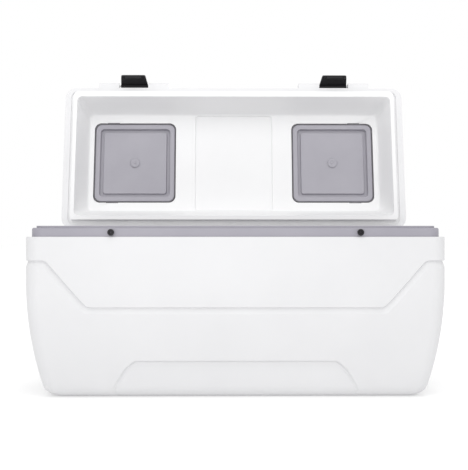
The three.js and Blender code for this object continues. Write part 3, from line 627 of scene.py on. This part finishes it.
# ---- hatches in the lid ----
def hatch_cover(side):
    axis_x, axis_z = side * (HATCH_X - HATCH_AXIS_IN), LID_TOP - HATCH_AXIS_DROP
    cx = side * HATCH_X
    plate = square(cx, PLATE_HALF, PLATE_RADIUS, PLATE_FLOOR + 0.5, LID_TOP)
    near, far = sorted((axis_x, side * (HATCH_X - PLATE_HALF + 3)))
    arm = block(near, far, 22 - PLATE_HALF, PLATE_HALF - 22, PLATE_FLOOR + 0.5, LID_TOP - 0.6)
    cover = join(plate, arm, rod("y", 4, 2 * PLATE_HALF - 20, (axis_x, 0, axis_z)))
    dish = loft([(112, 112, 15, LID_TOP - 1.2), (114, 114, 16, LID_TOP + 1)], centre=(cx, 0))
    pull = loft([(9, 30, 8, LID_TOP - 3.5), (13, 34, 12, LID_TOP + 1)],
                centre=(side * (HATCH_X + PLATE_HALF - 16), 0))
    return soften(cut(cover, rod("y", HATCH_BORE, 300, (axis_x, 0, axis_z), 0, 20), dish, pull), 0.7)


def hatch_liner(side):
    """Grey pan of a hatch: a frame, a channel inside it and a panel set deeper."""
    x, top = side * HATCH_X, PLATE_FLOOR + 0.5 - GAP

    def pan(inset, radius, z):
        return (HATCH_HALF - inset, HATCH_HALF - inset, radius, HATCH_BOTTOM + z)

    body = loft([pan(2.6, 18, 0), pan(1.1, 19, 0.5), pan(0.3, 20, 1.5), pan(0, 20, 3),
                 (HATCH_HALF, HATCH_HALF, 20, top)], centre=(x, 0))
    moat = cut(loft([pan(13, 13, -1), pan(15, 12, 0.6), pan(17, 10, 12)], centre=(x, 0)),
               loft([pan(28, 6, 5), pan(26.6, 7, 5.4), pan(25, 8, 13)], centre=(x, 0)))
    room = square(x, HATCH_HALF - 3, 17, HATCH_BOTTOM + 15, top + 1)
    return soften(cut(body, moat, room), 0.8)


def hatch_gasket(side):
    x = side * HATCH_X
    ring = cut(square(x, GASKET_HALF, 22, HATCH_BOTTOM + 0.5, HATCH_BOTTOM + 12),
               square(x, HATCH_HALF + GAP, 20.3, HATCH_BOTTOM, HATCH_BOTTOM + 13))
    return soften(join(ring, tab(side, -1, 0), tab(side, 1, 0)), 0.4)


def hatch_plug(side):
    """Round filling plug in the hatch panel, dished, with a moulded centre pip."""
    face = HATCH_BOTTOM + 5 - GAP
    profile = [(0, 15.8), (-1.2, 16), (-2.4, 15.6), (-3.5, 14.4), (-4.2, 12), (-4.4, 9.5), (-3.9, 7.8),
               (-3.2, 6.6), (-3.0, 4.4), (-3.3, 3.4), (-4.2, 2.6), (-4.4, 1)]
    return lathe("z", (side * HATCH_X, 0, face), profile, 48)


for name, side in SIDES.items():
    body = f"hatch_{name}"
    piece(hatch_cover(side), f"hatch_plate_{name}", body, "white_shell", [f"hatch_cover_{name}"], LID)
    piece(hatch_liner(side), f"hatch_panel_{name}", body, "grey_liner", [f"hatch_liner_{name}"], LID)
    piece(hatch_gasket(side), f"hatch_seal_{name}", body, "dark_rubber", [f"hatch_gasket_{name}"], LID)
    piece(hatch_plug(side), f"hatch_fill_plug_{name}", body, "grey_liner", [f"hatch_plug_{name}"], LID)


# ---- latches and catch posts ----
def cross_screw(head_radius, head_height, shank_radius, shank_length):
    """Pan-head screw: head face at y = 0, shank towards +Y."""
    dome = [(0.0, head_radius * 0.62), (0.25, head_radius * 0.86), (0.8, head_radius),
            (head_height, head_radius)]
    shank = [(head_height, shank_radius), (head_height + shank_length, shank_radius)]
    screw = lathe("y", (0, 0, 0), dome + shank, 32)
    arm = head_radius * 0.55
    return cut(screw, block(-arm, arm, -1, 1.3, -0.6, 0.6), block(-0.6, 0.6, -1, 1.3, -arm, arm))


def catch_post():
    """Stepped post, head towards -Y, back face at y = 0."""
    profile = [(-11.7, 5.0), (-11.7, 7.8), (-11.2, 8.4), (-10.5, 8.6), (-8.2, 8.6), (-7.5, 8.2), (-7.2, 6.3),
               (-6.4, 6), (-1, 6), (0, 7)]
    return cut(lathe("y", (0, 0, 0), profile, 48), rod("y", 4.6, 3.4, (0, -10, 0), 0),
               rod("y", POST_BORE, 30, (0, 0, 0), 0, 24))


def latch():
    """Strap latch hanging from a pivot at the origin, outer face towards -Y."""
    root, tip, length = 44, 38, LATCH_LENGTH
    outline = [(-root, 2), (-tip - 1, 5 - length), (-tip + 0.6, 1.4 - length), (4 - tip, -length),
               (tip - 4, -length), (tip - 0.6, 1.4 - length), (tip + 1, 5 - length), (root, 2)]
    plate = prism("y", outline, -6.5, -1.6)
    ribs = [rod("x", 1.1, 2 * (tip - 8), (0, -6.3, z), 0.5, 20) for z in (-34, -38.5, -43)]
    hook = block(-25, 25, -4, 5, -length, 5.5 - length)
    body = join(plate, rod("x", 5, 2 * root, (0, 0, 0), 0.8), hook)
    return soften(join(cut(body, rod("x", LATCH_BORE, 120, (0, 0, 0), 0, 24)), *ribs), 0.6)


for name, side in SIDES.items():
    post = Matrix.Translation((side * POST_X, RIM_IN - HALF_Y - GAP, POST_Z))
    piece(catch_post(), f"rim_catch_{name}", "body", "black_plastic", [f"catch_post_{name}"], post)
    screw = Matrix.Translation((side * POST_X, RIM_IN - HALF_Y - GAP - POST_LENGTH, POST_Z))
    piece(cross_screw(4.3, 2.4, 2.3, 15), f"rim_screw_{name}", "body", "black_steel",
          [f"catch_screw_{name}"], screw)
    pivot = LID @ Matrix.Translation((side * LATCH_X, LATCH_Y, LATCH_Z))
    piece(latch(), f"strap_latch_{name}", f"latch_{name}", "black_plastic", [f"latch_{name}"],
          pivot @ Matrix.Rotation(-math.radians(LATCH_OUT), 4, "X"))


# ---- everything that keeps its CAD mesh ----
def dress(node, material, width):
    """Looks for a node that stays shown: material, rounded edges and smooth shading."""
    obj = frame["nodes"][node]
    obj.data.materials.clear()
    obj.data.materials.append(MATERIALS[material])
    for face in obj.data.polygons:
        face.use_smooth = True
    flat = obj.modifiers.new("flat", "DECIMATE")
    flat.decimate_type = "DISSOLVE"
    flat.angle_limit = math.radians(1)
    edge = obj.modifiers.new("edge", "BEVEL")
    edge.width = width
    edge.segments = 2
    edge.limit_method = "ANGLE"
    edge.angle_limit = math.radians(40)
    weigh = obj.modifiers.new("normals", "WEIGHTED_NORMAL")
    weigh.keep_sharp = False


SLOTS = {part["node"]: part["material_slot"] for part in frame["record"]["subparts"]}
for node, obj in frame["nodes"].items():
    if not obj.hide_render:
        dress(node, SLOTS[node], 0.0005)


# ---- floor, light and camera ----
def light_table():
    material = bpy.data.materials.new("studio_floor")
    material.use_nodes = True
    shader = material.node_tree.nodes["Principled BSDF"]
    shader.inputs["Base Color"].default_value = (0.72, 0.72, 0.72, 1)
    shader.inputs["Roughness"].default_value = 0.9
    shader.inputs["Emission Color"].default_value = (1, 1, 1, 1)
    shader.inputs["Emission Strength"].default_value = 0.28
    return material


floor_mesh = bpy.data.meshes.new("studio_floor")
floor_mesh.from_pydata([(-30, -30, 0), (30, -30, 0), (30, 30, 0), (-30, 30, 0)], [], [(0, 1, 2, 3)])
floor = bpy.data.objects.new("studio_floor", floor_mesh)
bpy.context.scene.collection.objects.link(floor)
floor_mesh.materials.append(light_table())

world = bpy.data.worlds.new("studio")
bpy.context.scene.world = world
world.use_nodes = True
world.node_tree.nodes["Background"].inputs["Color"].default_value = (1, 1, 1, 1)
world.node_tree.nodes["Background"].inputs["Strength"].default_value = 1.0


def area_light(name, place, target, size, power):
    data = bpy.data.lights.new(name, "AREA")
    data.shape = "SQUARE"
    data.size = size
    data.energy = power
    lamp = bpy.data.objects.new(name, data)
    bpy.context.scene.collection.objects.link(lamp)
    lamp.location = place
    lamp.rotation_euler = (Vector(target) - Vector(place)).to_track_quat("-Z", "Y").to_euler()


area_light("top_soft", (0, -1.6, 2.8), (0, 0.25, 0.7), 1.2, 12)
area_light("front_soft", (-0.3, -3.4, 0.75), (0, 0.1, 0.5), 1.4, 25)
area_light("rear_soft", (0.6, 3.4, 1.6), (0, 0, 0.3), 1.4, 16)

camera_data = bpy.data.cameras.new("camera")
camera_data.sensor_fit = "HORIZONTAL"
camera_data.sensor_width = 36
camera_data.lens = 64.35
camera = bpy.data.objects.new("camera", camera_data)
bpy.context.scene.collection.objects.link(camera)
camera.location = (-0.0246, -2.365, 0.416)
camera.rotation_euler = (math.radians(90.17), 0, math.radians(-0.53))
bpy.context.scene.camera = camera
bpy.context.scene.view_settings.view_transform = "Standard"
